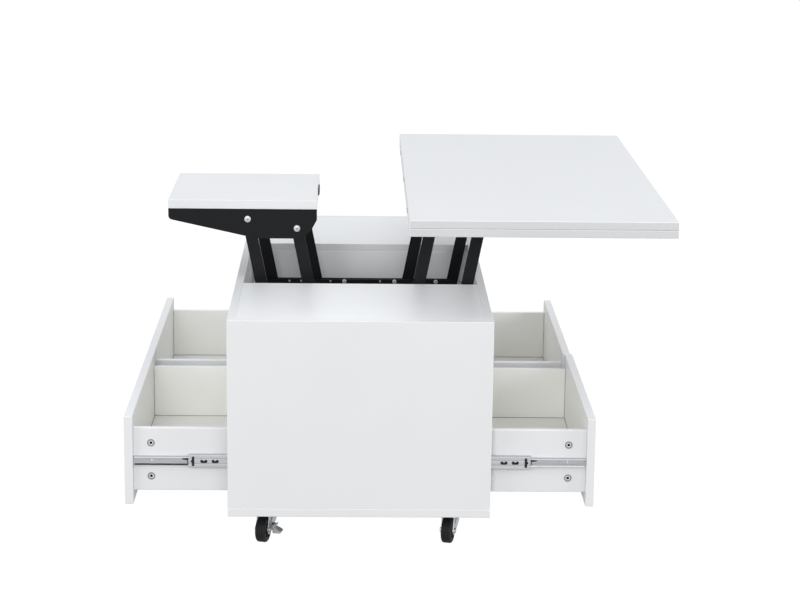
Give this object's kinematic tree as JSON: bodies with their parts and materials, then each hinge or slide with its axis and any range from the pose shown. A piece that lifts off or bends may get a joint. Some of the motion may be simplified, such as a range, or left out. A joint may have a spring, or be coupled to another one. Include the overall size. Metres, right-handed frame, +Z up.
{
  "type": "convertible coffee dining table",
  "caption": "White coffee table on casters with drawers; parallel-arm lifts raise a folded double top and a support panel, and the upper leaf unfolds to a square dining table.",
  "frame": {"origin": "on the floor, under the middle of the open table's outline", "axes": "+X across the cabinet, towards the side that the top moves out over; +Y from the near end to the far end; +Z up"},
  "size_m": [1.0358, 1, 0.6496],
  "materials": {
    "white_board": "satin white melamine",
    "black_steel": "fine powder coat",
    "zinc_steel": "zinc plated",
    "black_rubber": "matte",
    "black_plastic": "matte"
  },
  "bodies": {
    "cabinet": {"bottom_board": "white_board", "front_panel": "white_board", "rear_panel": "white_board", "front_ledge": "white_board", "rear_ledge": "white_board", "left_side_wall": "white_board", "right_side_wall": "white_board", "well_floor": "white_board", "well_walls": "white_board", "drawer_partition": "white_board", "cabinet_runners": "zinc_steel", "lift_wall_plates": "black_steel", "lift_inner_plates": "black_steel", "lift_ground_pins": "zinc_steel", "caster_plates": "zinc_steel"},
    "top_outer_arms": {"top_outer_arms": "black_steel"},
    "top_inner_arms": {"top_inner_arms": "black_steel"},
    "folding_top": {"top_brackets": "black_steel", "top_bracket_bolts": "zinc_steel", "lower_leaf": "white_board", "lower_hinge_plates": "zinc_steel", "hinge_pins": "zinc_steel"},
    "upper_leaf": {"upper_leaf": "white_board", "upper_hinge_plates": "zinc_steel"},
    "panel_outer_arms": {"panel_outer_arms": "black_steel"},
    "panel_inner_arms": {"panel_inner_arms": "black_steel"},
    "support_panel": {"support_panel": "white_board", "panel_brackets": "black_steel", "panel_bracket_bolts": "zinc_steel", "finger_pull": "black_plastic"},
    "left_front_drawer": {"left_front_drawer_front": "white_board", "left_front_drawer_box": "white_board", "left_front_drawer_cams": "zinc_steel", "left_front_drawer_runners": "zinc_steel"},
    "left_front_slide": {"left_front_slide_middles": "zinc_steel"},
    "left_rear_drawer": {"left_rear_drawer_front": "white_board", "left_rear_drawer_box": "white_board", "left_rear_drawer_cams": "zinc_steel", "left_rear_drawer_runners": "zinc_steel"},
    "left_rear_slide": {"left_rear_slide_middles": "zinc_steel"},
    "right_front_drawer": {"right_front_drawer_front": "white_board", "right_front_drawer_box": "white_board", "right_front_drawer_cams": "zinc_steel", "right_front_drawer_runners": "zinc_steel"},
    "right_front_slide": {"right_front_slide_middles": "zinc_steel"},
    "right_rear_drawer": {"right_rear_drawer_front": "white_board", "right_rear_drawer_box": "white_board", "right_rear_drawer_cams": "zinc_steel", "right_rear_drawer_runners": "zinc_steel"},
    "right_rear_slide": {"right_rear_slide_middles": "zinc_steel"},
    "front_left_caster": {"front_left_caster_fork": "zinc_steel"},
    "front_left_wheel": {"front_left_caster_wheel": "black_rubber"},
    "front_left_brake": {"front_left_brake_pedal": "zinc_steel"},
    "front_right_caster": {"front_right_caster_fork": "zinc_steel"},
    "front_right_wheel": {"front_right_caster_wheel": "black_rubber"},
    "rear_left_caster": {"rear_left_caster_fork": "zinc_steel"},
    "rear_left_wheel": {"rear_left_caster_wheel": "black_rubber"},
    "rear_right_caster": {"rear_right_caster_fork": "zinc_steel"},
    "rear_right_wheel": {"rear_right_caster_wheel": "black_rubber"},
    "rear_right_brake": {"rear_right_brake_pedal": "zinc_steel"}
  },
  "joints": [
    {"name": "top_lift", "type": "hinge", "parent": "cabinet", "child": "top_outer_arms", "pos_m": [0.11157, 0, 0.28881], "axis": [0, 1, 0], "range_deg": [-72.97, 0]},
    {"name": "top_inner_swing", "type": "hinge", "parent": "cabinet", "child": "top_inner_arms", "pos_m": [0.01437, 0, 0.28881], "axis": [0, 1, 0], "range_deg": [-73.47, 0.5]},
    {"name": "top_level", "type": "hinge", "parent": "top_outer_arms", "child": "folding_top", "pos_m": [0.17187, 0, 0.599], "axis": [0, 1, 0], "range_deg": [-0.5, 73.47]},
    {"name": "panel_lift", "type": "hinge", "parent": "cabinet", "child": "panel_outer_arms", "pos_m": [-0.24255, 0, 0.30462], "axis": [0, 1, 0], "range_deg": [-0.5, 78.61]},
    {"name": "panel_inner_swing", "type": "hinge", "parent": "cabinet", "child": "panel_inner_arms", "pos_m": [-0.14355, 0, 0.28612], "axis": [0, 1, 0], "range_deg": [-0.5, 78.61]},
    {"name": "panel_level", "type": "hinge", "parent": "panel_outer_arms", "child": "support_panel", "pos_m": [-0.29837, 0, 0.579], "axis": [0, 1, 0], "range_deg": [-78.61, 0.5]},
    {"name": "leaf_fold", "type": "hinge", "parent": "folding_top", "child": "upper_leaf", "pos_m": [0.01787, 0, 0.6343], "axis": [0, -1, 0], "range_deg": [0, 180]},
    {"name": "left_front_drawer_slide", "type": "slide", "parent": "cabinet", "child": "left_front_drawer", "axis": [-1, 0, 0], "range_m": [-0.196, 0.004]},
    {"name": "left_front_middle_slide", "type": "slide", "parent": "cabinet", "child": "left_front_slide", "axis": [-1, 0, 0], "range_m": [-0.099, 0.003]},
    {"name": "left_rear_drawer_slide", "type": "slide", "parent": "cabinet", "child": "left_rear_drawer", "axis": [-1, 0, 0], "range_m": [-0.196, 0.004]},
    {"name": "left_rear_middle_slide", "type": "slide", "parent": "cabinet", "child": "left_rear_slide", "axis": [-1, 0, 0], "range_m": [-0.099, 0.003]},
    {"name": "right_front_drawer_slide", "type": "slide", "parent": "cabinet", "child": "right_front_drawer", "axis": [1, 0, 0], "range_m": [-0.199, 0.001]},
    {"name": "right_front_middle_slide", "type": "slide", "parent": "cabinet", "child": "right_front_slide", "axis": [1, 0, 0], "range_m": [-0.1005, 0.0015]},
    {"name": "right_rear_drawer_slide", "type": "slide", "parent": "cabinet", "child": "right_rear_drawer", "axis": [1, 0, 0], "range_m": [-0.195, 0.005]},
    {"name": "right_rear_middle_slide", "type": "slide", "parent": "cabinet", "child": "right_rear_slide", "axis": [1, 0, 0], "range_m": [-0.0985, 0.0035]},
    {"name": "front_left_swivel", "type": "hinge", "parent": "cabinet", "child": "front_left_caster", "pos_m": [-0.25037, -0.414, 0.0645], "axis": [0, 0, 1], "continuous": true},
    {"name": "front_left_roll", "type": "hinge", "parent": "front_left_caster", "child": "front_left_wheel", "pos_m": [-0.25658, -0.43718, 0.025], "axis": [0.9659, -0.2588, 0], "continuous": true},
    {"name": "front_left_brake_press", "type": "hinge", "parent": "front_left_caster", "child": "front_left_brake", "pos_m": [-0.2365, -0.426, 0.029], "axis": [0.2588, 0.9659, 0], "range_deg": [0, 12]},
    {"name": "front_right_swivel", "type": "hinge", "parent": "cabinet", "child": "front_right_caster", "pos_m": [0.10763, -0.414, 0.0645], "axis": [0, 0, 1], "continuous": true},
    {"name": "front_right_roll", "type": "hinge", "parent": "front_right_caster", "child": "front_right_wheel", "pos_m": [0.10171, -0.43726, 0.025], "axis": [0.969, -0.247, 0], "continuous": true},
    {"name": "rear_left_swivel", "type": "hinge", "parent": "cabinet", "child": "rear_left_caster", "pos_m": [-0.25037, 0.414, 0.0645], "axis": [0, 0, 1], "continuous": true},
    {"name": "rear_left_roll", "type": "hinge", "parent": "rear_left_caster", "child": "rear_left_wheel", "pos_m": [-0.25778, 0.39117, 0.025], "axis": [0.9511, -0.309, 0], "continuous": true},
    {"name": "rear_right_swivel", "type": "hinge", "parent": "cabinet", "child": "rear_right_caster", "pos_m": [0.10763, 0.414, 0.0645], "axis": [0, 0, 1], "continuous": true},
    {"name": "rear_right_roll", "type": "hinge", "parent": "rear_right_caster", "child": "rear_right_wheel", "pos_m": [0.10142, 0.39082, 0.025], "axis": [0.9659, -0.2588, 0], "continuous": true},
    {"name": "rear_right_brake_press", "type": "hinge", "parent": "rear_right_caster", "child": "rear_right_brake", "pos_m": [0.1215, 0.402, 0.029], "axis": [0.2588, 0.9659, 0], "range_deg": [0, 12]}
  ],
  "couplings": [
    {"joint": "top_inner_swing", "follows": "top_lift", "ratio": 1},
    {"joint": "top_level", "follows": "top_lift", "ratio": -1},
    {"joint": "panel_lift", "follows": "top_lift", "ratio": -1.0704},
    {"joint": "panel_inner_swing", "follows": "top_lift", "ratio": -1.0704},
    {"joint": "panel_level", "follows": "top_lift", "ratio": 1.0704},
    {"joint": "left_front_middle_slide", "follows": "left_front_drawer_slide", "ratio": 0.5},
    {"joint": "left_rear_middle_slide", "follows": "left_rear_drawer_slide", "ratio": 0.5},
    {"joint": "right_front_middle_slide", "follows": "right_front_drawer_slide", "ratio": 0.5},
    {"joint": "right_rear_middle_slide", "follows": "right_rear_drawer_slide", "ratio": 0.5}
  ]
}
